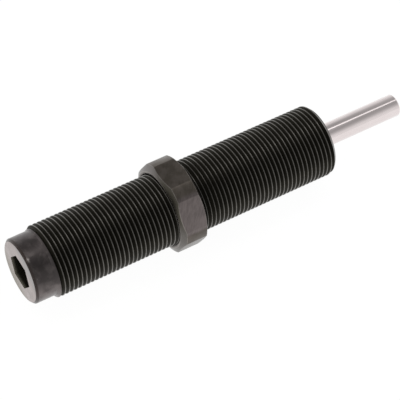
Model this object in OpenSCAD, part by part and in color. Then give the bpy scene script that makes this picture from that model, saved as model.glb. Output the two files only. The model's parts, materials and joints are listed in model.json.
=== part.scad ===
// Miniature hydraulic shock absorber: a threaded body that is closed at the rear, a damping cylinder with
// metering orifices inside it, a spring-returned piston rod, and a locknut for mounting.
// X is the axis, from the centre of the rear end face towards the rod tip. Z is square to two nut flats.

/* [Body] */
// Major diameter of the mounting thread
thread_d = 16; // [15.6:0.1:18]
// Length of the body
body_l = 72.7; // [71:0.1:90]
// Diameter of the plain section at the rear end
rear_d = 14.5; // [13:0.5:15.5]
// Length of the plain section at the rear end
rear_l = 4.7; // [2:0.1:8]
// Chamfer of the rear end
rear_chamfer = 0.5; // [0.2:0.1:1]
// Chamfer of the front rim
rim_chamfer = 0.7; // [0.2:0.1:1]
// Bore of the body
bore_d = 12.2; // [12.2:0.1:12.6]
// Depth of the bore's floor, from the rear end face
floor_x = 8; // [7.5:0.1:10]

/* [Hex socket] */
// Width across the socket's flats
socket_af = 7; // [4:0.5:8]
// Depth of the socket's flats
socket_depth = 4.5; // [3:0.5:5]
// Turn of the socket about the axis
socket_turn = 9; // [-30:1:30]
// Diameter of the filling hole in the socket's floor
fill_d = 2; // [1:0.1:3]

/* [Locknut] */
// Width across the nut's flats
nut_af = 19; // [19:0.5:24]
// Amount turned off each corner of the nut
nut_corner_cut = 0.84; // [0.1:0.01:1]
// Amount by which the nut's chamfers reach in past its flats, on its end faces
nut_face_cut = 0.8; // [0.1:0.1:0.8]
// Thickness of the nut
nut_t = 6.5; // [4:0.1:10]
// Place of the nut's rear face, from the rear end face
nut_x = 33; // [6:0.1:60]
// Depth of the countersinks at the nut's bore
nut_sink = 0.3; // [0.2:0.1:0.6]

/* [Piston rod] */
// Diameter of the rod
rod_d = 5; // [4:0.5:5]
// Length of the rod in front of the body
rod_out = 20.4; // [20.2:0.1:30]
// Stroke
stroke = 20; // [10:1:20]
// Chamfer of the rod's tip
tip_chamfer = 0.3; // [0.1:0.1:0.8]
// Diameter of the rod's stud, which carries the piston
stud_d = 3; // [2:0.1:3.4]

/* [Damping cylinder] */
// Bore of the pressure tube
tube_d = 8.2; // [8:0.1:8.4]
// Wall of the pressure tube
tube_wall = 1; // [0.6:0.1:1.2]
// Number of metering orifices along the stroke
orifices = 6; // [3:1:10]
// Diameter of a metering orifice
orifice_d = 0.7; // [0.3:0.1:1]
// Number of return ports at the front of the pressure tube
return_ports = 4; // [2:1:6]
// Diameter of a return port
return_port_d = 1.2; // [0.6:0.1:1.4]

/* [Piston] */
// Length of the piston head
head_l = 5; // [4.6:0.1:6]
// Width of the piston ring
ring_w = 1.4; // [1:0.1:1.6]
// Number of return passages through the piston head
passages = 6; // [4:1:8]
// Diameter of a return passage
passage_d = 0.9; // [0.5:0.1:1]
// Thickness of the check plate that covers the passages
plate_t = 0.6; // [0.4:0.1:0.8]
// Travel of the check plate
plate_travel = 0.6; // [0.4:0.1:0.8]

/* [Return spring] */
// Length of the spring with the rod out
spring_l = 28; // [27:0.1:29]
// Diameter of the spring's wire
wire_d = 0.6; // [0.4:0.05:0.65]
// Mean diameter of the spring's coils
coil_d = 6.4; // [6.2:0.1:6.8]
// Number of active coils
active_coils = 10; // [6:1:10]

/* [Hidden] */
$fn = 96;

// Clearances: between seated pieces of one body, and between the pieces that slide on each other
seat_gap = 0.05;
slide_gap = 0.04;

// The body
thread_r = thread_d / 2;
rear_r = rear_d / 2;
bore_r = bore_d / 2;
fit_r = bore_r - seat_gap;
thread_start_x = rear_l + thread_r - rear_r;
drill_slope = tan(31);
drill_r = socket_af / 2 - 0.15;

// The damping cylinder, from its floor to the bearing
base_flange_t = 1.8;
base_spigot_l = 1.2;
tube_x = floor_x + base_flange_t;
spring_x = tube_x + base_spigot_l;
tube_r = tube_d / 2;
tube_out_r = tube_r + tube_wall;

// The piston, its check plate and the spring seat, from the spring forwards
seat_x = spring_x + spring_l;
seat_t = 1;
seat_r = 3.55;
hub_r = 1.9;
hub_l = plate_t + plate_travel + 0.1;
head_x = seat_x + seat_t + hub_l;
shoulder_x = head_x + head_l;
ring_x = head_x + 1.6;
ring_depth = 0.75;
rod_r = rod_d / 2;
stud_r = stud_d / 2;
piston_nut_af = 5;
piston_nut_t = 1.6;
stud_x = seat_x - piston_nut_t - 0.3;
tip_x = body_l + rod_out;

// The bearing and the foam accumulator
washer_t = 0.7;
washer_x = shoulder_x + 0.2;
bearing_x = washer_x + washer_t;
spigot_l = 2;
flange_t = 2;
tube_end_x = bearing_x + spigot_l;
neck_x = tube_end_x + flange_t;
neck_r = 4;
bush_r = 3.2;

// The gland with its seals, and the ring that holds it
clip_t = 0.8;
clip_x = body_l - 1.65;
clip_groove_r = bore_r + 0.5;
gland_x = body_l - 8.7;
gland_end_x = clip_x - seat_gap;
seal_pocket_r = 4.5;
seal_pocket_l = 3;
seal_l = 2;
backup_t = 0.7;
o_groove_x = gland_x + 3.2;
o_groove_w = 1.6;
o_groove_r = 4.75;
wiper_pocket_r = 4;
wiper_x = gland_end_x - 2.1;

// A solid turned about X from a profile of [radius, x] points
module turned(profile) {
    rotate([0, 90, 0]) rotate_extrude() polygon(profile);
}

// A plain ring about X
module ring(from_x, to_x, outer_r, inner_r) {
    turned([[inner_r, from_x], [outer_r, from_x], [outer_r, to_x], [inner_r, to_x]]);
}

// A round bar along X
module bar(from_x, to_x, r) {
    translate([from_x, 0, 0]) rotate([0, 90, 0]) cylinder(h = to_x - from_x, r = r);
}

// A hexagonal bar along X with two flats square to Z
module hex_bar(from_x, to_x, across_flats) {
    translate([from_x, 0, 0]) rotate([0, 90, 0]) rotate([0, 0, 30])
        cylinder(h = to_x - from_x, r = across_flats / 2 / cos(30), $fn = 6);
}

// Copies turned evenly about X
module around_x(count) {
    for (i = [0 : count - 1]) rotate([i * 360 / count, 0, 0]) children();
}

// A radial hole through a tube's wall at one side
module radial_hole(x, d, outer_r) {
    translate([x, 0, 0]) cylinder(h = outer_r + 1, d = d);
}

// ---- Body and locknut ----

// The threaded body, drawn at its major diameter, with the closed rear end and the hex socket
module body() {
    color([0.13, 0.13, 0.12]) difference() {
        turned([
            [0, 0], [rear_r - rear_chamfer, 0], [rear_r, rear_chamfer],
            [rear_r, rear_l], [thread_r, thread_start_x],
            [thread_r, body_l - rim_chamfer], [thread_r - rim_chamfer, body_l],
            [bore_r, body_l], [bore_r, clip_x + clip_t + seat_gap],
            [clip_groove_r, clip_x + clip_t + seat_gap], [clip_groove_r, clip_x - seat_gap],
            [bore_r, clip_x - seat_gap], [bore_r, floor_x], [0, floor_x]
        ]);
        rotate([socket_turn, 0, 0]) hex_bar(-1, socket_depth, socket_af);
        // the pilot drill's cone below the socket
        turned([
            [0, socket_depth - 1], [drill_r, socket_depth - 1],
            [drill_r, socket_depth], [0, socket_depth + drill_r * drill_slope]
        ]);
        bar(socket_depth, floor_x + 1, fill_d / 2);
    }
}

// The ball that is pressed into the filling hole
module fill_ball() {
    ball_r = fill_d / 2 - 0.01;
    color([0.62, 0.62, 0.64]) translate([floor_x - ball_r - 0.15, 0, 0]) sphere(r = ball_r);
}

// The locknut: a hexagon with round corners, chamfered by 30 degrees on both faces
module locknut() {
    corner_r = nut_af / 2 / cos(30) - nut_corner_cut;
    face_r = nut_af / 2 - nut_face_cut;
    fall = (corner_r - face_r) * tan(30);
    bore = thread_r + slide_gap;
    end_x = nut_x + nut_t;
    color([0.36, 0.33, 0.32]) intersection() {
        hex_bar(nut_x, end_x, nut_af);
        turned([
            [bore + nut_sink, nut_x], [face_r, nut_x], [corner_r, nut_x + fall],
            [corner_r, end_x - fall], [face_r, end_x], [bore + nut_sink, end_x],
            [bore, end_x - nut_sink], [bore, nut_x + nut_sink]
        ]);
    }
}

// ---- Damping cylinder ----

// The plug that closes the pressure tube and carries the spring
module base_plug() {
    color([0.66, 0.64, 0.58]) turned([
        [0, floor_x], [fit_r - 0.3, floor_x], [fit_r, floor_x + 0.3], [fit_r, tube_x],
        [tube_r - seat_gap, tube_x], [tube_r - seat_gap, spring_x - 0.2],
        [tube_r - seat_gap - 0.2, spring_x], [0, spring_x]
    ]);
}

// The pressure tube. Each orifice that the piston passes leaves a flow area that falls with the square
// root of the stroke that is left, which keeps the braking force level.
module pressure_tube() {
    first_x = ring_x - orifice_d;
    run = stroke - 2;
    color([0.72, 0.73, 0.76]) difference() {
        ring(tube_x, tube_end_x, tube_out_r, tube_r);
        for (i = [0 : orifices - 1]) {
            left = (orifices - i) / orifices;
            rotate([i * 60, 0, 0])
                radial_hole(first_x - run * (1 - left * left), orifice_d, tube_out_r);
        }
        around_x(return_ports) rotate([45, 0, 0])
            radial_hole(bearing_x - return_port_d / 2, return_port_d, tube_out_r);
    }
}

// ---- Bearing and accumulator ----

// The washer that cushions the piston as the rod comes out
module rebound_washer() {
    color([0.20, 0.22, 0.25])
        ring(washer_x, bearing_x, tube_r - 0.4, rod_r + 0.3);
}

// The bearing carrier: a spigot in the pressure tube, a flange with oil notches, and a neck in the foam
module rod_bearing() {
    color([0.70, 0.70, 0.72]) difference() {
        turned([
            [rod_r + 0.3, bearing_x], [tube_r - seat_gap, bearing_x], [tube_r - seat_gap, tube_end_x],
            [fit_r, tube_end_x], [fit_r, neck_x], [neck_r, neck_x], [neck_r, gland_x],
            [bush_r + 0.02, gland_x], [bush_r + 0.02, bearing_x + 1], [rod_r + 0.3, bearing_x + 1]
        ]);
        around_x(6) translate([tube_end_x - 1, 0, fit_r]) rotate([0, 90, 0])
            cylinder(h = flange_t + 2, r = 0.8);
    }
}

// The bronze bush that guides the rod
module bearing_bush() {
    color([0.72, 0.52, 0.28])
        ring(bearing_x + 1 + seat_gap, gland_x - seat_gap, bush_r, rod_r + slide_gap);
}

// The closed-cell foam that gives way to the oil that the rod displaces
module foam_accumulator() {
    color([0.16, 0.16, 0.18])
        ring(neck_x + seat_gap, gland_x - seat_gap, bore_r - 0.1, neck_r + 0.1);
}

// ---- Gland and seals ----

// The gland, which holds the rod seal at its rear, the wiper at its front and an O-ring outside
module gland() {
    bore = rod_r + 0.08;
    color([0.68, 0.68, 0.70]) turned([
        [seal_pocket_r, gland_x], [fit_r - 0.3, gland_x], [fit_r, gland_x + 0.3],
        [fit_r, o_groove_x], [o_groove_r, o_groove_x],
        [o_groove_r, o_groove_x + o_groove_w], [fit_r, o_groove_x + o_groove_w],
        [fit_r, gland_end_x - 0.3], [fit_r - 0.3, gland_end_x],
        [wiper_pocket_r, gland_end_x], [wiper_pocket_r, wiper_x],
        [bore, wiper_x], [bore, gland_x + seal_pocket_l], [seal_pocket_r, gland_x + seal_pocket_l]
    ]);
}

// The U-cup that seals the rod, open towards the oil
module rod_seal() {
    inner = rod_r + 0.02;
    outer = seal_pocket_r - 0.02;
    x = gland_x + 0.15;
    groove_r = (inner + outer) / 2;
    color([0.10, 0.22, 0.16]) turned([
        [inner, x + 0.3], [inner + 0.35, x], [groove_r - 0.15, x], [groove_r - 0.25, x + 1.1],
        [groove_r + 0.25, x + 1.1], [groove_r + 0.15, x], [outer - 0.35, x], [outer, x + 0.3],
        [outer, x + seal_l], [inner + 0.1, x + seal_l], [inner + 0.1, x + 0.9]
    ]);
}

// The stiff ring that backs the U-cup
module backup_ring() {
    x = gland_x + 0.15 + seal_l + 0.05;
    color([0.90, 0.89, 0.84]) ring(x, x + backup_t, seal_pocket_r - 0.05, rod_r + 0.06);
}

// The O-ring between the gland and the body
module gland_o_ring() {
    middle_r = (o_groove_r + bore_r) / 2;
    cord_r = (bore_r - o_groove_r) / 2 - 0.02;
    color([0.08, 0.08, 0.09]) translate([o_groove_x + o_groove_w / 2, 0, 0]) rotate([0, 90, 0])
        rotate_extrude() translate([middle_r, 0]) circle(r = cord_r, $fn = 32);
}

// The wiper, whose lip leans on the rod in front of the gland
module wiper() {
    inner = rod_r + 0.02;
    outer = wiper_pocket_r - 0.04;
    x = wiper_x + seat_gap;
    color([0.12, 0.24, 0.18]) turned([
        [inner + 0.3, x], [outer, x], [outer, gland_end_x], [inner + 0.9, gland_end_x],
        [inner + 0.35, gland_end_x + 0.5], [inner, gland_end_x + 0.5],
        [inner, gland_end_x + 0.1], [inner + 0.3, gland_end_x - 0.5]
    ]);
}

// The internal retaining ring, with two eyes for circlip pliers
module retaining_ring() {
    outer = clip_groove_r - seat_gap;
    eye_r = 0.95;
    eye_place_r = 5.05;
    color([0.28, 0.28, 0.30]) translate([clip_x, 0, 0]) rotate([0, 90, 0])
        linear_extrude(height = clip_t) difference() {
            union() {
                difference() {
                    circle(r = outer);
                    translate([0.25, 0]) circle(r = outer - 1.35);
                    polygon([[0, 0], [12, -4.2], [12, 4.2]]);
                }
                for (side = [-1, 1]) rotate(side * 28) translate([eye_place_r, 0]) circle(r = eye_r);
            }
            for (side = [-1, 1]) rotate(side * 28) translate([eye_place_r, 0]) circle(r = 0.45);
        }
}

// ---- Piston rod and piston ----

// The rod, with its chamfered tip, its shoulder and the stud behind it
module piston_rod() {
    color([0.80, 0.81, 0.83]) turned([
        [0, stud_x], [stud_r - 0.2, stud_x], [stud_r, stud_x + 0.2],
        [stud_r, shoulder_x - 0.4], [stud_r - 0.1, shoulder_x - 0.3], [stud_r - 0.1, shoulder_x],
        [rod_r - 0.2, shoulder_x], [rod_r, shoulder_x + 0.2],
        [rod_r, tip_x - tip_chamfer], [rod_r - tip_chamfer, tip_x], [0, tip_x]
    ]);
}

// The piston head, with its ring groove and the passages that the check plate covers
module piston_head() {
    outer = tube_r - slide_gap;
    passage_place_r = (hub_r + outer - ring_depth) / 2;
    color([0.60, 0.56, 0.44]) difference() {
        turned([
            [stud_r + 0.02, head_x], [outer - 0.2, head_x], [outer, head_x + 0.2],
            [outer, ring_x], [outer - ring_depth, ring_x],
            [outer - ring_depth, ring_x + ring_w], [outer, ring_x + ring_w],
            [outer, shoulder_x - 0.3], [outer - 0.3, shoulder_x], [stud_r + 0.02, shoulder_x]
        ]);
        around_x(passages) translate([0, 0, passage_place_r])
            bar(head_x - 1, shoulder_x + 1, passage_d / 2);
    }
}

// The split piston ring
module piston_ring() {
    play = 0.05;
    color([0.34, 0.30, 0.26]) difference() {
        ring(ring_x + play, ring_x + ring_w - play, tube_r - 0.02, tube_r - slide_gap - ring_depth + play);
        translate([ring_x - 1, -0.15, 0]) cube([ring_w + 2, 0.3, tube_r + 1]);
    }
}

// The flanged hub behind the piston: it carries the spring, guides the check plate and stops it
module spring_seat() {
    color([0.62, 0.62, 0.65]) turned([
        [stud_r + 0.02, seat_x], [seat_r, seat_x], [seat_r, seat_x + seat_t],
        [hub_r, seat_x + seat_t], [hub_r, head_x], [stud_r + 0.02, head_x]
    ]);
}

// The nut that clamps the piston to the rod
module piston_nut() {
    color([0.56, 0.56, 0.58]) difference() {
        hex_bar(seat_x - piston_nut_t, seat_x, piston_nut_af);
        bar(seat_x - piston_nut_t - 1, seat_x + 1, stud_r + 0.02);
    }
}

// The check plate, shut against the piston head
module check_plate() {
    color([0.75, 0.75, 0.70])
        ring(head_x - plate_t, head_x, tube_r - 0.4, hub_r + slide_gap);
}

// ---- Return spring ----

// Place along the spring after a number of turns: one closed coil at each end, an even pitch between
function coil_x(turn) =
    let (pitch = (spring_l - 3 * wire_d) / active_coils, last = active_coils + 2)
    turn < 1 ? wire_d * turn
    : turn > last - 1 ? spring_l - wire_d - wire_d * (last - turn)
    : wire_d + pitch * (turn - 1);

// The spring's wire, swept along its coils
module return_spring() {
    sides = 8;
    steps = 20;
    rings = (active_coils + 2) * steps;
    // a hair under the wire's size, so that the closed coils keep clear of each other
    wire_r = wire_d * 0.48;
    points = [
        for (i = [0 : rings]) for (k = [0 : sides - 1])
            let (
                turn = i / steps,
                place_r = coil_d / 2 + wire_r * cos(k * 360 / sides),
                x = spring_x + wire_d / 2 + coil_x(turn) + wire_r * sin(k * 360 / sides)
            )
            [x, place_r * cos(turn * 360), place_r * sin(turn * 360)]
    ];
    skin = [
        for (i = [0 : rings - 1]) for (k = [0 : sides - 1])
            let (a = i * sides + k, b = i * sides + (k + 1) % sides)
            [a, b, b + sides, a + sides]
    ];
    ends = [
        [for (k = [sides - 1 : -1 : 0]) k],
        [for (k = [0 : sides - 1]) rings * sides + k]
    ];
    color([0.66, 0.67, 0.70]) polyhedron(points = points, faces = concat(skin, ends), convexity = 20);
}

body();
locknut();
fill_ball();
base_plug();
pressure_tube();
rebound_washer();
rod_bearing();
bearing_bush();
foam_accumulator();
gland();
rod_seal();
backup_ring();
gland_o_ring();
wiper();
retaining_ring();
piston_rod();
piston_head();
piston_ring();
spring_seat();
piston_nut();
check_plate();
return_spring();
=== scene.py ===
import bpy
import json
from math import cos, pi, radians, sin, tan
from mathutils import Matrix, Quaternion, Vector


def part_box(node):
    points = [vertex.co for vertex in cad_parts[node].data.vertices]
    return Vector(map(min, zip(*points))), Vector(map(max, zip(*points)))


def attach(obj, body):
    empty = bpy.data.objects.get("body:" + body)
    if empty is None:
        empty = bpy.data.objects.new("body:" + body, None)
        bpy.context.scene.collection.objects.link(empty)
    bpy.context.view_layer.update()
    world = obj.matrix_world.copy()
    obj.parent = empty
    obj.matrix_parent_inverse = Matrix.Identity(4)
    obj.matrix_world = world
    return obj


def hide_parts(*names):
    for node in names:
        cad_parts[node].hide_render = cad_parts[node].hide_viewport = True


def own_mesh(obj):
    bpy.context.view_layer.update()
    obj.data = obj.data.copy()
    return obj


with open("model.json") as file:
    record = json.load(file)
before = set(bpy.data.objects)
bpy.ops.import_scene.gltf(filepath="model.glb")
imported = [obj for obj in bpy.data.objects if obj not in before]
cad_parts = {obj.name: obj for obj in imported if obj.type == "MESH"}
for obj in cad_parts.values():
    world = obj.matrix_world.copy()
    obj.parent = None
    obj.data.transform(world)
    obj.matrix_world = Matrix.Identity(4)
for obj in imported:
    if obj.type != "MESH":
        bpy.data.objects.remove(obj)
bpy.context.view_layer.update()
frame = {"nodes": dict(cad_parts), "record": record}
cadNodes = frame["nodes"]
mm = 0.001


def nodeEnds(name):
    # where a node starts and ends along the axis, in mm
    return [corner.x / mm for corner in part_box(name)]


def deselectAll():
    if bpy.context.object and bpy.context.object.mode == 'EDIT':
        bpy.ops.object.mode_set(mode='OBJECT')
    bpy.ops.object.select_all(action='DESELECT')


def makeActive(piece):
    deselectAll()
    piece.select_set(True)
    bpy.context.view_layer.objects.active = piece


def applyPlace():
    bpy.ops.object.transform_apply(location=True, rotation=True, scale=True)


def applyModifier(piece, kind, **settings):
    makeActive(piece)
    modifier = piece.modifiers.new(kind.title(), kind)
    for name, value in settings.items():
        setattr(modifier, name, value)
    bpy.ops.object.modifier_apply(modifier=modifier.name)


def drawLine(name, points, closed=False):
    # a line of edges, drawn by extruding one point; points are (x, y, z) in mm
    deselectAll()
    bpy.ops.mesh.primitive_plane_add(size=mm, location=(0, 0, 0))
    line = bpy.context.object
    line.name = name
    bpy.ops.object.mode_set(mode='EDIT')
    bpy.ops.mesh.select_all(action='SELECT')
    bpy.ops.mesh.merge(type='CENTER')
    places = [Vector([side * mm for side in point]) for point in points]
    at = places[0].copy()
    bpy.ops.transform.translate(value=at)
    for place in places[1:] + (places[:1] if closed else []):
        step = place - at
        bpy.ops.mesh.extrude_region_move(TRANSFORM_OT_translate={"value": step})
        at += step
    bpy.ops.object.mode_set(mode='OBJECT')
    return line


def drawProfile(name, points, closed=False):
    # half a turned piece's section, in the XZ plane; points are (x, radius)
    return drawLine(name, [(x, 0, r) for x, r in points], closed)


def tidyShell(piece, gap=0.0004):
    # doubles within the gap, in mm, go first, then the faces are turned outwards
    makeActive(piece)
    bpy.ops.object.mode_set(mode='EDIT')
    bpy.ops.mesh.select_all(action='SELECT')
    bpy.ops.mesh.remove_doubles(threshold=gap * mm)
    bpy.ops.mesh.normals_make_consistent(inside=False)
    bpy.ops.object.mode_set(mode='OBJECT')


def turnedPiece(name, points, segments, closed=True):
    # the lathe: a profile spun once about X
    piece = drawProfile(name, points, closed)
    bpy.ops.object.mode_set(mode='EDIT')
    bpy.ops.mesh.select_all(action='SELECT')
    bpy.ops.mesh.spin(steps=segments, angle=2 * pi, center=(0, 0, 0), axis=(1, 0, 0))
    bpy.ops.object.mode_set(mode='OBJECT')
    tidyShell(piece)
    return piece


def barAlongX(name, fromX, toX, radius, sides=96, turn=0, y=0, z=0, squeeze=1):
    # its first corner is on Y until it is turned; squeeze narrows it along Z before that
    deselectAll()
    bpy.ops.mesh.primitive_cylinder_add(
        vertices=sides, radius=radius * mm, depth=(toX - fromX) * mm, rotation=(0, radians(90), 0))
    piece = bpy.context.object
    piece.name = name
    applyPlace()
    piece.scale = (1, 1, squeeze)
    piece.rotation_euler = (radians(turn), 0, 0)
    piece.location = ((fromX + toX) / 2 * mm, y * mm, z * mm)
    applyPlace()
    return piece


def hexBar(name, fromX, toX, acrossFlats, turn=0):
    return barAlongX(name, fromX, toX, acrossFlats / 2 / cos(radians(30)), 6, turn)


def cutWith(piece, tool, operation='DIFFERENCE'):
    applyModifier(piece, 'BOOLEAN', operation=operation, object=tool, solver='EXACT')
    bpy.data.objects.remove(tool)


def breakEdges(piece, width, angle=30, segments=2):
    # small rounds on the sharp edges; width is in mm
    applyModifier(piece, 'BEVEL', width=width * mm, segments=segments, limit_method='ANGLE',
                  angle_limit=radians(angle), use_clamp_overlap=False)


def finishPiece(piece, body, slot, node, smoothAngle=30):
    makeActive(piece)
    applyPlace()
    bpy.ops.object.shade_smooth_by_angle(angle=radians(smoothAngle))
    piece.data.materials.clear()
    piece.data.materials.append(finishes[slot])
    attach(piece, body)
    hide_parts(node)
    print("made", piece.name, len(piece.data.polygons), "faces")


class Wire:
    # a node's output that can stand in a sum: each operator adds its Math node
    def __init__(self, nodes, socket):
        self.nodes, self.socket = nodes, socket

    def maths(self, operation, a, b=0.0):
        return self.nodes.node("ShaderNodeMath", {"operation": operation}, {0: a, 1: b})

    def __add__(self, other): return self.maths("ADD", self, other)
    def __sub__(self, other): return self.maths("SUBTRACT", self, other)
    def __rsub__(self, other): return self.maths("SUBTRACT", other, self)
    def __mul__(self, other): return self.maths("MULTIPLY", self, other)
    def __pow__(self, other): return self.maths("POWER", self, other)
    __radd__, __rmul__ = __add__, __mul__


class Nodes:
    # one node tree, and the one way in which nodes are added to it
    def __init__(self, tree):
        self.tree = tree

    def link(self, socket, value):
        if isinstance(value, Wire):
            self.tree.links.new(value.socket, socket)
        elif hasattr(value, "__len__") and len(value) == 3 and len(socket.default_value) == 4:
            socket.default_value = (*value, 1)
        else:
            socket.default_value = value

    def node(self, kind, settings=None, inputs=None, output=0):
        made = self.tree.nodes.new(kind)
        for name, value in (settings or {}).items():
            if name == "stops":
                while len(made.color_ramp.elements) < len(value):
                    made.color_ramp.elements.new(0.5)
                for element, (position, level) in zip(made.color_ramp.elements, value):
                    element.position, element.color = position, (level, level, level, 1)
            else:
                setattr(made, name, value)
        for socket, value in (inputs or {}).items():
            self.link(made.inputs[socket], value)
        return Wire(self, made.outputs[output])

    def lowest(self, a, b):
        return self.node("ShaderNodeMath", {"operation": "MINIMUM"}, {0: a, 1: b})

    def highest(self, a, b):
        return self.node("ShaderNodeMath", {"operation": "MAXIMUM"}, {0: a, 1: b})


class Finish(Nodes):
    # a material that knows its place on the part: x along the axis, y, z, and r from the axis, in mm
    def __init__(self, name, **fixed):
        self.material = bpy.data.materials.new(name)
        self.material.use_nodes = True
        super().__init__(self.material.node_tree)
        self.shader = self.tree.nodes["Principled BSDF"]
        self.feed(**fixed)
        self.place = self.node("ShaderNodeTexCoord", output="Object")
        self.x, self.y, self.z = (
            self.node("ShaderNodeSeparateXYZ", {}, {0: self.place}, axis) * (1 / mm) for axis in range(3))
        self.r = (self.y * self.y + self.z * self.z) ** 0.5

    def feed(self, **sockets):
        for socket, value in sockets.items():
            self.link(self.shader.inputs[socket.replace("_", " ")], value)
        return self.material

    def absolute(self, a):
        return self.node("ShaderNodeMath", {"operation": "ABSOLUTE"}, {0: a})

    def noise(self, size, detail=3):
        # patches of this size, in mm
        scaled = self.node("ShaderNodeMapping", {}, {"Vector": self.place, "Scale": (1 / mm / size,) * 3})
        return self.patches(scaled, detail)

    def patches(self, vector, detail):
        return self.node("ShaderNodeTexNoise", {}, {"Vector": vector, "Scale": 1.0, "Detail": detail}, "Fac")

    def lines(self, across, along, width, length, detail=2):
        # marks that a tool leaves: narrow in one direction, long in the other
        spread = self.node("ShaderNodeCombineXYZ", {}, {0: across * (1 / width), 1: along * (1 / length)})
        return self.patches(spread, detail)

    def rings(self, width):
        # fine lines round the axis, left by turning or grinding
        return self.lines(self.x, self.r, width, width)

    def step(self, value, low, high):
        # 0 before low, 1 past high, and soft between them
        soft = {"interpolation_type": "SMOOTHSTEP"}
        return self.node("ShaderNodeMapRange", soft, {0: value, 1: low, 2: high})

    def blend(self, mask, first, second):
        # colours go from first to second as the mask goes from 0 to 1
        return self.node("ShaderNodeMix", {"data_type": "RGBA"}, {0: mask, 6: first, 7: second}, 2)

    def bump(self, height, depth):
        # depth is in mm
        return self.node("ShaderNodeBump", {}, {"Height": height, "Distance": depth * mm, "Strength": 1.0})


def shaded(colour, share):
    return tuple(level * share for level in colour)


toolOver = 1.0  # how far a cutting tool reaches past what it cuts, in mm

bodyShape = dict(
    frontX=nodeEnds("body")[1], thread=8.0, pitch=1.0, depth=0.613, crest=0.09, crestRound=0.03,
    phase=5.0, rear=7.25, rearEnd=4.7, rearChamfer=0.5, rimChamfer=0.7, bore=6.1, floor=8.0,
    clipFrom=-1.70, clipTo=-0.80, clipGroove=6.6, fillHole=1.0, drillUnder=0.15, drillTip=31,
    socketWide=7.0, socketDeep=4.5, socketTurn=9, edge=0.05, segments=96)

# colours, and for each mask the two limits that it fades between, in mm or as a level of noise
bodyLook = dict(
    mottle=1.9, speck=0.35, ringMarks=0.12, markDepth=0.004,
    crest=(0.120, 0.113, 0.101), crestFrom=(-0.15, -0.01), crestSpeck=(0.35, 0.75), speckLight=1.5,
    valleyShade=(0.030, 0.0275, 0.021),
    plain=(0.060, 0.0495, 0.0485), plainFade=0.15, shoulder=(0.04, 0.12), shoulderTo=(5.25, 5.45),
    stain=(0.118, 0.100, 0.097), stainPatch=(0.42, 0.70),
    under=(-2.0, 2.6), underReflectionPatch=(0.25, 0.6), underReflection=1.35,
    edge=(0.043, 0.030, 0.026), edgeFade=0.1,
    bare=(0.42, 0.38, 0.36), chips=(0.68, 0.74), chipsTo=(0.9, 1.6), chipShare=0.3,
    brightSpotX=0.65, brightSpotAt=65, brightSpotSize=(0.1, 0.8), brightSpotNarrow=3, brightSpotPatch=(0.3, 0.6),
    shadeBandAt=37, shadeBand=(0.83, 0.99), shadeBandDark=0.42,
    faceTo=(0.01, 0.04), face=(0.445, 0.392, 0.378), facePatch=(0.3, 0.7), faceDim=0.85,
    leanY=0.6, leanZ=0.8, faceFarReflection=(0.27, 0.24, 0.195), far=(-2.0, -6.0),
    faceNearReflection=(0.355, 0.34, 0.335), near=(3.0, 6.0),
    litMouth=(0.30, 0.28, 0.22), litMouthTo=(-0.2, 0.85), socket=(0.016, 0.014, 0.009), socketR=(4.2, 4.4),
    rough=0.24, mottleRough=0.10, plainRough=0.06, dryRough=0.35, oil=0.6, plainOil=0.2, oilRough=0.3)


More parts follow.
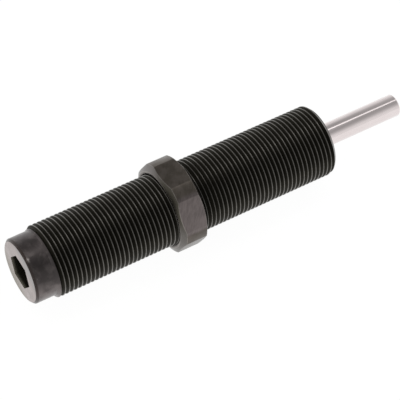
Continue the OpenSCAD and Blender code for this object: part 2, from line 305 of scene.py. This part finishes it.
def oxidizedBody(b, look):
    f = Finish("oxidizedBody", Coat_Roughness=look["oilRough"])
    mottle = f.noise(look["mottle"], 4)
    speck = f.noise(look["speck"], 2)
    # how far a point lies below the crests, or below the chamfers where the thread starts and ends
    shoulder = f.x + (b["rear"] - b["rearEnd"])
    cone = f.lowest(shoulder, b["frontX"] + b["thread"] - b["rimChamfer"] - f.x)
    onCrest = f.step(f.r - f.lowest(cone, b["thread"]), *look["crestFrom"])
    specks = f.step(speck, *look["crestSpeck"])
    crest = f.blend(specks, look["crest"], shaded(look["crest"], look["speckLight"]))
    # the valley colour is painted shade: the grooves are darker than the crests, where shade falls in the
    # thread
    thread = f.blend(onCrest, look["valleyShade"], crest)
    # the plain end and the shoulder behind the first crest are the same turned skin
    onShoulder = (1 - f.step(shoulder - f.r, *look["shoulder"])) * (1 - f.step(f.x, *look["shoulderTo"]))
    onPlain = f.highest(1 - f.step(f.x, b["rearEnd"] - look["plainFade"], b["rearEnd"]), onShoulder)
    plain = f.blend(f.step(mottle, *look["stainPatch"]), look["plain"], look["stain"])
    # its underside is paler in patches: a painted reflection of the pale floor
    under = (1 - f.step(f.z, *look["under"])) * f.step(mottle, *look["underReflectionPatch"])
    plain = f.blend(under, plain, shaded(look["stain"], look["underReflection"]))
    # the rear edge is browner, with small chips down to bare steel, and one small spot of the bare colour
    chamfer, soft = b["rearChamfer"], look["edgeFade"]
    plain = f.blend(1 - f.step(f.x, chamfer - soft, chamfer + soft), plain, look["edge"])
    chips = f.step(speck, *look["chips"]) * (1 - f.step(f.x, *look["chipsTo"]))
    plain = f.blend(chips * look["chipShare"], plain, look["bare"])
    brightSpotY = -b["rear"] * cos(radians(look["brightSpotAt"]))
    brightSpotZ = b["rear"] * sin(radians(look["brightSpotAt"]))
    away = ((f.x - look["brightSpotX"]) ** 2 * look["brightSpotNarrow"] + (f.y - brightSpotY) ** 2 + (f.z - brightSpotZ) ** 2) ** 0.5
    brightSpot = (1 - f.step(away, *look["brightSpotSize"])) * f.step(speck, *look["brightSpotPatch"])
    plain = f.blend(brightSpot, plain, look["bare"])
    colour = f.blend(onPlain, thread, plain)
    # painted shade: a darker band along the side that faces up and forward
    shadeBandY, shadeBandZ = cos(radians(look["shadeBandAt"])), sin(radians(look["shadeBandAt"]))
    shadeBand = f.step((f.z * shadeBandZ - f.y * shadeBandY) * f.r ** -1, *look["shadeBand"])
    colour = f.blend(shadeBand * look["shadeBandDark"], colour, (0, 0, 0))
    # the rear face is ground bright, and painted reflections make it duller towards two of its sides
    onFace = 1 - f.step(f.x, *look["faceTo"])
    across = f.z * look["leanZ"] - f.y * look["leanY"]
    face = f.blend(f.step(mottle, *look["facePatch"]), look["face"], shaded(look["face"], look["faceDim"]))
    face = f.blend(f.step(across, *look["far"]), face, look["faceFarReflection"])
    face = f.blend(f.step(across, *look["near"]), face, look["faceNearReflection"])
    colour = f.blend(onFace, colour, face)
    # the socket's walls scatter light, and carry painted light near the mouth that fades to painted shade
    # deeper in
    inSocket = (1 - f.step(f.r, *look["socketR"])) * (1 - onFace)
    socket = f.blend(f.step(f.x, *look["litMouthTo"]), look["litMouth"], look["socket"])
    colour = f.blend(inSocket, colour, socket)
    # crests and plain end are oiled, and the grooves are dry
    oiled = f.highest(onCrest, onPlain) * (1 - onFace)
    rough = (look["rough"] + mottle * look["mottleRough"] + onPlain * look["plainRough"]
             + (1 - oiled) * (1 - onFace) * look["dryRough"])
    oil = oiled * (1 - inSocket) * (look["oil"] - onPlain * look["plainOil"])
    marks = speck * 0.5 + f.rings(look["ringMarks"]) * 0.5
    return f.feed(Base_Color=colour, Metallic=1 - inSocket, Roughness=rough, Coat_Weight=oil,
                  Normal=f.bump(marks, look["markDepth"]))


nutShape = dict(acrossFlats=19.0, corner=10.129, faceR=8.7, bore=8.04, sink=0.3, edge=0.06, segments=144)

nutLook = dict(
    mottle=1.8, speck=0.3, slant=60, markWide=0.22, markLong=2.5, markDepth=0.008,
    dark=(0.082, 0.070, 0.058), light=(0.120, 0.103, 0.090), lightPatch=(0.45, 0.85), markLight=0.3,
    worn=(0.225, 0.205, 0.19), edgeWidth=0.13, wornEdge=(1.15, 1.8), wornPatch=(0.50, 0.85),
    spots=(0.70, 0.76), spotShare=0.4,
    redLit=(0.165, 0.140, 0.136), redLitUnder=(0.5, 0.1), redLitDim=0.68, redLitPatch=(0.4, 0.75),
    olive=(0.066, 0.060, 0.047), chamferDeep=(0.02, 0.08), chamferTo=(1.0, 1.5),
    reflectedPale=(0.165, 0.152, 0.145), reflectedPaleAbove=(-2.0, 4.0), reflectedPaleBelow=(0.0, 5.0), belowShare=0.6,
    rough=0.26, markRough=0.14, oil=0.15, oilRough=0.3)


def oxidizedNut(n, look):
    f = Finish("oxidizedNut", Metallic=1.0, Coat_Weight=look["oil"], Coat_Roughness=look["oilRough"])
    fromX, toX = nodeEnds("locknut")
    mottle = f.noise(look["mottle"], 5)
    speck = f.noise(look["speck"], 3)
    # the cutter's marks slant round the nut
    around = f.node("ShaderNodeMath", {"operation": "ARCTAN2"}, {0: f.z, 1: 0 - f.y}) * n["corner"]
    c, s = cos(radians(look["slant"])), sin(radians(look["slant"]))
    marks = f.lines(f.x * s - around * c, f.x * c + around * s, look["markWide"], look["markLong"])
    # an edge is where a point is near two of the nut's surfaces at once; only the chamfers' edges wear
    c, s = cos(radians(30)), sin(radians(30))
    upper, lower = f.z * s + f.y * c, f.z * s - f.y * c
    flat = f.highest(f.absolute(f.z), f.highest(f.absolute(upper), f.absolute(lower)))
    inset = f.lowest(f.x - fromX, toX - f.x)
    side = f.lowest(n["acrossFlats"] / 2 - flat, n["corner"] - f.r)
    chamfer = (n["faceR"] - f.r) * s + inset * c
    near = sum(1 - f.step(gap, 0.0, look["edgeWidth"]) for gap in (side, inset, chamfer))
    worn = f.step(near, *look["wornEdge"]) * f.step(mottle + speck * 0.5, *look["wornPatch"])
    spots = f.step(speck, *look["spots"]) * look["spotShare"]
    patch = f.step(mottle + marks * look["markLight"], *look["lightPatch"])
    colour = f.blend(patch, look["dark"], look["light"])
    # one flat, the one that faces forward, is a little redder than the rest and painted lighter as painted
    # light
    redLitFlat = f.step(lower, *(n["acrossFlats"] / 2 - under for under in look["redLitUnder"]))
    redLitPatch = f.step(marks * 0.7 + mottle * 0.5, *look["redLitPatch"])
    colour = f.blend(redLitFlat, colour, f.blend(redLitPatch, shaded(look["redLit"], look["redLitDim"]), look["redLit"]))
    # the rear chamfer is olive, with painted paler reflections above and below
    ring = (1 - f.step(chamfer, *look["chamferDeep"])) * (1 - f.step(f.x - fromX, *look["chamferTo"]))
    below = (1 - f.step(f.z, *look["reflectedPaleBelow"])) * look["belowShare"]
    reflectedPaler = f.highest(f.step(f.y, *look["reflectedPaleAbove"]), below)
    colour = f.blend(ring, colour, f.blend(reflectedPaler, look["olive"], look["reflectedPale"]))
    colour = f.blend(f.highest(worn, spots), colour, look["worn"])
    return f.feed(Base_Color=colour, Roughness=look["rough"] + marks * look["markRough"],
                  Normal=f.bump(mottle * 0.5 + marks * 0.5, look["markDepth"]))


def groundChrome(name, light, dark, rough):
    f = Finish(name, Metallic=1.0)
    grind = f.rings(0.08)
    return f.feed(Base_Color=f.blend(f.noise(3, 2), dark, light), Roughness=rough + grind * 0.08,
                  Normal=f.bump(grind, 0.0006))


def turnedSteel(name, light, dark, rough):
    f = Finish(name, Metallic=1.0)
    cuts = f.rings(0.1)
    return f.feed(Base_Color=f.blend(f.noise(2.2, 3), dark, light), Roughness=rough + cuts * 0.12,
                  Normal=f.bump(cuts, 0.0015))


def rubber(name, light, dark, rough):
    f = Finish(name)
    grain = f.noise(0.2, 3)
    return f.feed(Base_Color=f.blend(f.noise(1.5, 2), dark, light), Roughness=rough + grain * 0.15,
                  Normal=f.bump(grain, 0.006))


def sintered(name, light, dark, rough):
    f = Finish(name, Metallic=1.0)
    pores = f.noise(0.12, 2)
    return f.feed(Base_Color=f.blend(f.step(pores, 0.35, 0.5), dark, light), Roughness=rough + pores * 0.2,
                  Normal=f.bump(pores, 0.01))


# one finish for each of the record's slots: its name, lighter and darker colour, and roughness
finishes = {
    "black_oxide": oxidizedBody(bodyShape, bodyLook),
    "nut_oxide": oxidizedNut(nutShape, nutLook),
    "rod_chrome": groundChrome("groundChrome", (0.80, 0.735, 0.73), (0.74, 0.665, 0.66), 0.10),
    "ball_steel": turnedSteel("polishedBall", (0.66, 0.66, 0.68), (0.56, 0.56, 0.58), 0.08),
    "plain_steel": turnedSteel("turnedSteel", (0.58, 0.58, 0.59), (0.46, 0.46, 0.47), 0.22),
    "tube_steel": turnedSteel("honedTube", (0.68, 0.69, 0.71), (0.58, 0.59, 0.62), 0.14),
    "bronze": turnedSteel("bearingBronze", (0.62, 0.42, 0.20), (0.50, 0.31, 0.13), 0.24),
    "spring_steel": turnedSteel("drawnWire", (0.60, 0.61, 0.63), (0.48, 0.49, 0.51), 0.18),
    "clip_steel": turnedSteel("phosphatedClip", (0.12, 0.12, 0.125), (0.07, 0.07, 0.075), 0.34),
    "sintered_metal": sintered("sinteredIron", (0.34, 0.31, 0.27), (0.16, 0.14, 0.12), 0.40),
    "ring_iron": sintered("castIronRing", (0.22, 0.20, 0.18), (0.12, 0.11, 0.10), 0.34),
    "foam": rubber("accumulatorFoam", (0.040, 0.040, 0.044), (0.022, 0.022, 0.026), 0.72),
    "seal_rubber": rubber("sealElastomer", (0.024, 0.068, 0.044), (0.014, 0.046, 0.030), 0.42),
    "black_rubber": rubber("nitrileRubber", (0.022, 0.022, 0.024), (0.012, 0.012, 0.014), 0.52),
    "backup_plastic": rubber("naturalPtfe", (0.82, 0.80, 0.73), (0.74, 0.72, 0.64), 0.45),
}
slotOf = {part["node"]: part["material_slot"] for part in frame["record"]["subparts"]}
for name, node in cadNodes.items():
    node.data.materials.clear()
    node.data.materials.append(finishes[slotOf[name]])
print("finishes made:", len(finishes))


def threadSkin(b):
    # one pitch of the profile, screwed along the body
    flank = b["depth"] * tan(radians(30))
    crest, root, soft = b["crest"] / 2, b["pitch"] / 2, b["crestRound"]
    low, high = b["thread"] - b["depth"], b["thread"]
    rootHalf = root - crest - soft - flank
    profile = [(0, high), (crest, high), (crest + soft, high - soft), (root - rootHalf, low + soft),
               (root, low), (root + rootHalf, low + soft), (b["pitch"] - crest - soft, high - soft),
               (b["pitch"] - crest, high), (b["pitch"], high)]
    startX = b["phase"] - 2 * b["pitch"]
    turns = int((b["frontX"] - startX) / b["pitch"]) + 2
    skin = drawProfile("threadSkin", [(startX + x, r) for x, r in profile])
    applyModifier(skin, 'SCREW', axis='X', angle=2 * pi, screw_offset=b["pitch"] * mm, iterations=turns,
                  steps=b["segments"], render_steps=b["segments"], use_smooth_shade=False)
    # both ends run out into the chamfers, and what lies past them is gathered into their rings
    rimR = b["thread"] - b["rimChamfer"]
    for vertex in skin.data.vertices:
        x, r = vertex.co.x / mm, vertex.co.yz.length / mm
        newX = min(max(x, b["rearEnd"]), b["frontX"])
        newR = min(r, b["rear"] + newX - b["rearEnd"], rimR + b["frontX"] - newX)
        vertex.co = (newX * mm, vertex.co.y * newR / r, vertex.co.z * newR / r)
    return skin


def threadedBody(b):
    drill = b["socketWide"] / 2 - b["drillUnder"]
    clipFrom, clipTo = b["frontX"] + b["clipFrom"], b["frontX"] + b["clipTo"]
    drillEnd = b["socketDeep"] + (drill - b["fillHole"]) * tan(radians(b["drillTip"]))
    shell = turnedPiece("threadedBody", [
        (b["rearEnd"], b["rear"]), (b["rearChamfer"], b["rear"]), (0, b["rear"] - b["rearChamfer"]),
        (0, drill), (b["socketDeep"], drill), (drillEnd, b["fillHole"]),
        (b["floor"], b["fillHole"]), (b["floor"], b["bore"]), (clipFrom, b["bore"]),
        (clipFrom, b["clipGroove"]), (clipTo, b["clipGroove"]), (clipTo, b["bore"]),
        (b["frontX"], b["bore"]), (b["frontX"], b["thread"] - b["rimChamfer"])], b["segments"], False)
    breakEdges(shell, b["edge"])
    skin = threadSkin(b)
    makeActive(shell)
    skin.select_set(True)
    bpy.ops.object.join()
    tidyShell(shell)
    cutWith(shell, hexBar("socketTool", -toolOver, b["socketDeep"], b["socketWide"], b["socketTurn"]))
    finishPiece(shell, "barrel", "black_oxide", "body", 35)


threadedBody(bodyShape)


def hexLocknut(n):
    fromX, toX = nodeEnds("locknut")
    fall = (n["corner"] - n["faceR"]) * tan(radians(30))
    nut = turnedPiece("hexLocknut", [
        (fromX, n["bore"] + n["sink"]), (fromX, n["faceR"]), (fromX + fall, n["corner"]),
        (toX - fall, n["corner"]), (toX, n["faceR"]), (toX, n["bore"] + n["sink"]),
        (toX - n["sink"], n["bore"]), (fromX + n["sink"], n["bore"])], n["segments"])
    cutWith(nut, hexBar("hexTool", fromX - toolOver, toX + toolOver, n["acrossFlats"]), 'INTERSECT')
    breakEdges(nut, n["edge"], 15)
    finishPiece(nut, "locknut", "nut_oxide", "locknut")


hexLocknut(nutShape)

rodShape = dict(radius=2.5, stud=1.5, studChamfer=0.2, relief=0.1, reliefLong=0.4, reliefSlope=0.1,
                shoulder=0.2, tipChamfer=0.3, edge=0.03, segments=160)


def polishedRod(p):
    studX, tipX = nodeEnds("piston_rod")
    shoulderX = nodeEnds("piston_head")[1]
    r, stud, tip, shoulder = p["radius"], p["stud"], p["tipChamfer"], p["shoulder"]
    reliefX, reliefR = shoulderX - p["reliefLong"], stud - p["relief"]
    rod = turnedPiece("polishedRod", [
        (studX, 0), (studX, stud - p["studChamfer"]), (studX + p["studChamfer"], stud), (reliefX, stud),
        (reliefX + p["reliefSlope"], reliefR), (shoulderX, reliefR), (shoulderX, r - shoulder),
        (shoulderX + shoulder, r), (tipX - tip, r), (tipX, r - tip), (tipX, 0)], p["segments"], False)
    breakEdges(rod, p["edge"])
    finishPiece(rod, "rod", "rod_chrome", "piston_rod")


polishedRod(rodShape)

glandShape = dict(outer=6.05, chamfer=0.3, sealPocket=4.5, sealDeep=3.0, groove=4.75, grooveAt=3.2,
                  grooveWide=1.6, bore=2.58, wiperPocket=4.0, wiperDeep=2.1, edge=0.07, segments=128)


def turnedGland(g):
    fromX, toX = nodeEnds("gland")
    grooveX, sealX, wiperX = fromX + g["grooveAt"], fromX + g["sealDeep"], toX - g["wiperDeep"]
    faceR = g["outer"] - g["chamfer"]
    gland = turnedPiece("turnedGland", [
        (fromX, g["sealPocket"]), (fromX, faceR), (fromX + g["chamfer"], g["outer"]),
        (grooveX, g["outer"]), (grooveX, g["groove"]), (grooveX + g["grooveWide"], g["groove"]),
        (grooveX + g["grooveWide"], g["outer"]), (toX - g["chamfer"], g["outer"]), (toX, faceR),
        (toX, g["wiperPocket"]), (wiperX, g["wiperPocket"]), (wiperX, g["bore"]), (sealX, g["bore"]),
        (sealX, g["sealPocket"])], g["segments"])
    breakEdges(gland, g["edge"])
    finishPiece(gland, "barrel", "plain_steel", "gland")


turnedGland(glandShape)

wiperShape = dict(inner=2.52, outer=3.96, relief=0.3, lip=0.5, lipWide=0.35, lipFoot=0.9,
                  contact=0.4, reach=1.0, edge=0.06, segments=128)


def mouldedWiper(w):
    fromX, tipX = nodeEnds("wiper")
    inner, faceX = w["inner"], tipX - w["lip"]
    wiper = turnedPiece("mouldedWiper", [
        (fromX, inner + w["relief"]), (fromX, w["outer"]), (faceX, w["outer"]), (faceX, inner + w["lipFoot"]),
        (tipX, inner + w["lipWide"]), (tipX, inner), (tipX - w["contact"], inner),
        (tipX - w["reach"], inner + w["relief"])], w["segments"])
    breakEdges(wiper, w["edge"], 20, 3)
    finishPiece(wiper, "barrel", "seal_rubber", "wiper", 40)


mouldedWiper(wiperShape)

clipShape = dict(outer=6.55, inner=5.20, offset=0.25, gapDeep=12.0, gapHalf=4.2,
                 lug=0.95, lugAt=5.05, lugTurn=28, lugSides=48, hole=0.45, holeSides=32, edge=0.04)


def retainingClip(c):
    # a stamped ring, open at the bottom, with an eye on each side of its gap
    fromX, toX = nodeEnds("retaining_ring")
    fromTool, toTool = fromX - toolOver, toX + toolOver
    clip = barAlongX("retainingClip", fromX, toX, c["outer"])
    cutWith(clip, barAlongX("innerTool", fromTool, toTool, c["inner"], z=-c["offset"]))
    wedge = c["gapDeep"] / 1.5  # the radius of a three-sided bar that is gapDeep high
    squeeze = c["gapHalf"] / c["gapDeep"] / tan(radians(30))
    cutWith(clip, barAlongX("gapTool", fromTool, toTool, wedge, 3, 90, z=-wedge, squeeze=squeeze))
    for side in (-1, 1):
        turn = radians(c["lugTurn"])
        eye = dict(y=side * c["lugAt"] * sin(turn), z=-c["lugAt"] * cos(turn))
        cutWith(clip, barAlongX("lugTool", fromX, toX, c["lug"], c["lugSides"], **eye), 'UNION')
        cutWith(clip, barAlongX("holeTool", fromTool, toTool, c["hole"], c["holeSides"], **eye))
    tidyShell(clip)
    breakEdges(clip, c["edge"], 50)
    finishPiece(clip, "barrel", "clip_steel", "retaining_ring")


retainingClip(clipShape)

# the skin is a hair thinner than the wire, so that the closed coils keep clear of each other
springShape = dict(wire=0.6, skin=0.288, roundness=2, coil=3.2, active=10, closed=1, travel=20.0, steps=32)


def coiledSpring(s):
    # round wire along a coil, closed by a turn at each end
    fromX, toX = nodeEnds("return_spring")
    run = toX - fromX - 2 * s["skin"]
    pitch = (run - 2 * s["closed"] * s["wire"]) / s["active"]
    points = []
    for i in range((s["active"] + 2 * s["closed"]) * s["steps"] + 1):
        turn = i / s["steps"]
        opened = min(max(turn - s["closed"], 0), s["active"])
        x = fromX + s["skin"] + opened * pitch + (turn - opened) * s["wire"]
        points.append((x, s["coil"] * cos(2 * pi * turn), s["coil"] * sin(2 * pi * turn)))
    makeActive(drawLine("coiledSpring", points))
    bpy.ops.object.convert(target='CURVE')
    wire = bpy.context.object.data
    wire.bevel_depth, wire.bevel_resolution, wire.use_fill_caps = s["skin"] * mm, s["roundness"], True
    bpy.ops.object.convert(target='MESH')
    spring = bpy.context.object
    tidyShell(spring)
    finishPiece(spring, "barrel", "spring_steel", "return_spring")
    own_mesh(spring)


coiledSpring(springShape)

stageShape = dict(under=0.02, size=3.0, paint=(0.86, 0.86, 0.85), glow=1.07, share=0.9)


def paleFloor(s):
    # it lies a hair under the nut's lower flat
    deselectAll()
    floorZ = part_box("locknut")[0].z - s["under"] * mm
    bpy.ops.mesh.primitive_plane_add(size=s["size"], location=(0, 0, floorZ))
    floor = bpy.context.object
    floor.name = "paleFloor"
    material = bpy.data.materials.new("paleFloor")
    material.use_nodes = True
    n = Nodes(material.node_tree)
    n.tree.nodes.remove(n.tree.nodes["Principled BSDF"])
    # the camera and the steel see it nearly white, and the rest of it is paint that holds the shadow
    seen = n.highest(n.node("ShaderNodeLightPath", output="Is Camera Ray"),
                     n.node("ShaderNodeLightPath", output="Is Glossy Ray"))
    paint = n.node("ShaderNodeBsdfDiffuse", {}, {"Color": s["paint"]})
    glow = n.node("ShaderNodeEmission", {}, {"Strength": s["glow"]})
    mix = n.node("ShaderNodeMixShader", {}, {0: seen * s["share"], 1: paint, 2: glow})
    n.link(n.tree.nodes["Material Output"].inputs["Surface"], mix)
    floor.data.materials.append(material)


stripLamp = dict(x=0.25, distance=0.61, lean=5.0, length=1.4, width=0.12, power=0.5)


def stripLight(s):
    # a long lamp parallel to the rod, a little behind it, that faces the axis
    lamp = bpy.data.lights.new("stripLamp", 'AREA')
    lamp.shape = 'RECTANGLE'
    lamp.size, lamp.size_y, lamp.energy = s["length"], s["width"], s["power"]
    holder = bpy.data.objects.new("stripLamp", lamp)
    bpy.context.scene.collection.objects.link(holder)
    lean = radians(s["lean"])
    holder.location = (s["x"], s["distance"] * sin(lean), s["distance"] * cos(lean))
    holder.rotation_euler = (-lean, 0, 0)


# levels of the white tent: by height, then by how far behind the part
tent = dict(
    height=((0.0, 0.82), (0.12, 0.91), (0.32, 0.82), (0.5, 0.62),
            (0.66, 0.45), (0.8, 0.38), (0.9, 0.49), (1.0, 0.60)),
    behind=((0.3, 1.0), (0.6, 0.92), (0.88, 0.95), (0.95, 1.2), (1.0, 1.35)))


def studioLight(t):
    world = bpy.data.worlds.new("studio")
    bpy.context.scene.world = world
    world.use_nodes = True
    n = Nodes(world.node_tree)
    way = n.node("ShaderNodeTexCoord", output="Generated")
    y, z = (n.node("ShaderNodeSeparateXYZ", {}, {0: way}, axis) for axis in (1, 2))
    level = (n.node("ShaderNodeValToRGB", {"stops": t["height"]}, {0: z})
             * n.node("ShaderNodeValToRGB", {"stops": t["behind"]}, {0: y}))
    # the camera sees it white
    level = n.highest(level, n.node("ShaderNodeLightPath", output="Is Camera Ray"))
    background = world.node_tree.nodes["Background"]
    n.link(background.inputs["Strength"], level)
    n.link(background.inputs["Color"], (1, 1, 1))


cameraPlace = dict(azimuth=31.9286, elevation=48.3988, roll=0.7933, distance=0.43579, lens=185.324,
                   aim=(0.0430526, 0, 0), lower=0.0017764, sensor=36.0, nearest=0.01, farthest=20)


def placeCamera(c):
    a, e = radians(c["azimuth"]), radians(c["elevation"])
    back = Vector((-sin(a) * cos(e), -cos(a) * cos(e), sin(e)))
    data = bpy.data.cameras.new("camera")
    data.lens, data.sensor_width = c["lens"], c["sensor"]
    data.clip_start, data.clip_end = c["nearest"], c["farthest"]
    holder = bpy.data.objects.new("camera", data)
    bpy.context.scene.collection.objects.link(holder)
    turn = back.to_track_quat('Z', 'Y') @ Quaternion((0, 0, 1), radians(c["roll"]))
    up = turn @ Vector((0, 1, 0))
    holder.location = Vector(c["aim"]) + back * c["distance"] - up * c["lower"]
    holder.rotation_euler = turn.to_euler()
    bpy.context.scene.camera = holder


paleFloor(stageShape)
stripLight(stripLamp)
studioLight(tent)
placeCamera(cameraPlace)
bpy.context.scene.view_settings.view_transform = 'Standard'
print("floor, lights and camera made")
